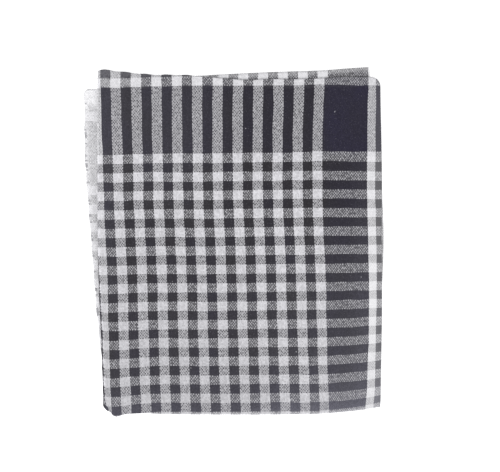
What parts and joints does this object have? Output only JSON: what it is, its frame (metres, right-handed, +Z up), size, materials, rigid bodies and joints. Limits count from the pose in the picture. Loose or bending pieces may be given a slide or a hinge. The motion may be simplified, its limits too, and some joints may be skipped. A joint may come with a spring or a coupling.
{
  "type": "folded dust cloth",
  "caption": "Thin checked cotton dust cloth with a wide dark border band, folded in half and then in three into a flat packet for dusting and wiping.",
  "frame": {"origin": "under the middle of the folded cloth's outline, on the surface that it rests on", "axes": "+Y from the bottom fold to the hemmed end, along the packet's length; +Z up through the layers; +X towards the hemmed side"},
  "size_m": [0.2106, 0.2436, 0.0084],
  "materials": {
    "checked_cotton": "matt plain-woven cotton, near-black and off-white yarns in a small check"
  },
  "bodies": {
    "root": {"cloth": "checked_cotton"}
  },
  "joints": []
}
